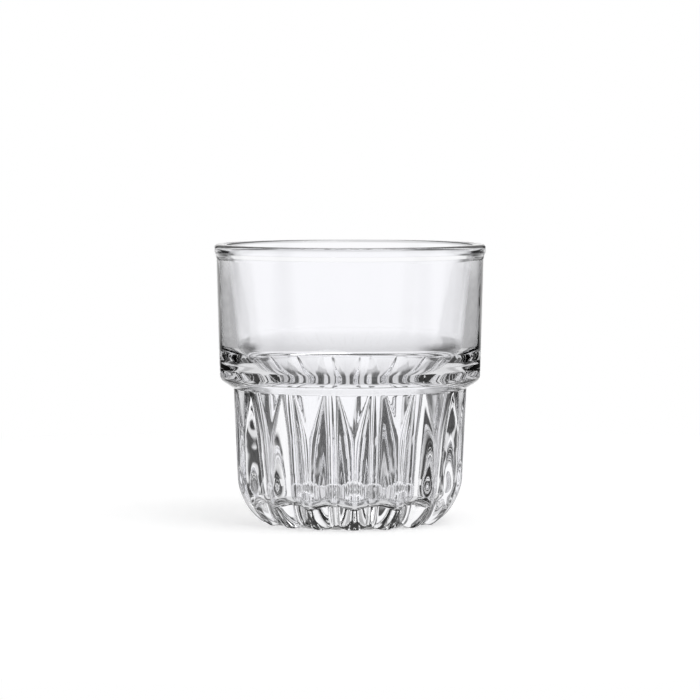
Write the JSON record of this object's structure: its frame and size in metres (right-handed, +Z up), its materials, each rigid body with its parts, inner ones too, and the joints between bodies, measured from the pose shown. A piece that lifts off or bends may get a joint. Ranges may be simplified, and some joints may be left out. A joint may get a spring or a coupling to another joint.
{
  "type": "cortado glass",
  "caption": "Short clear pressed-glass tumbler with a plain flared band and beaded lip, a stacking shoulder and a fluted lower body on a thick rounded foot.",
  "frame": {"origin": "centre of the foot, on the plane that the glass stands on", "axes": "+Z up along the axis of the glass from foot to rim; a rib of the lower body lies on -Y"},
  "size_m": [0.073, 0.073, 0.075],
  "materials": {
    "glass": "polished"
  },
  "bodies": {
    "root": {"glass": "glass"}
  },
  "joints": []
}
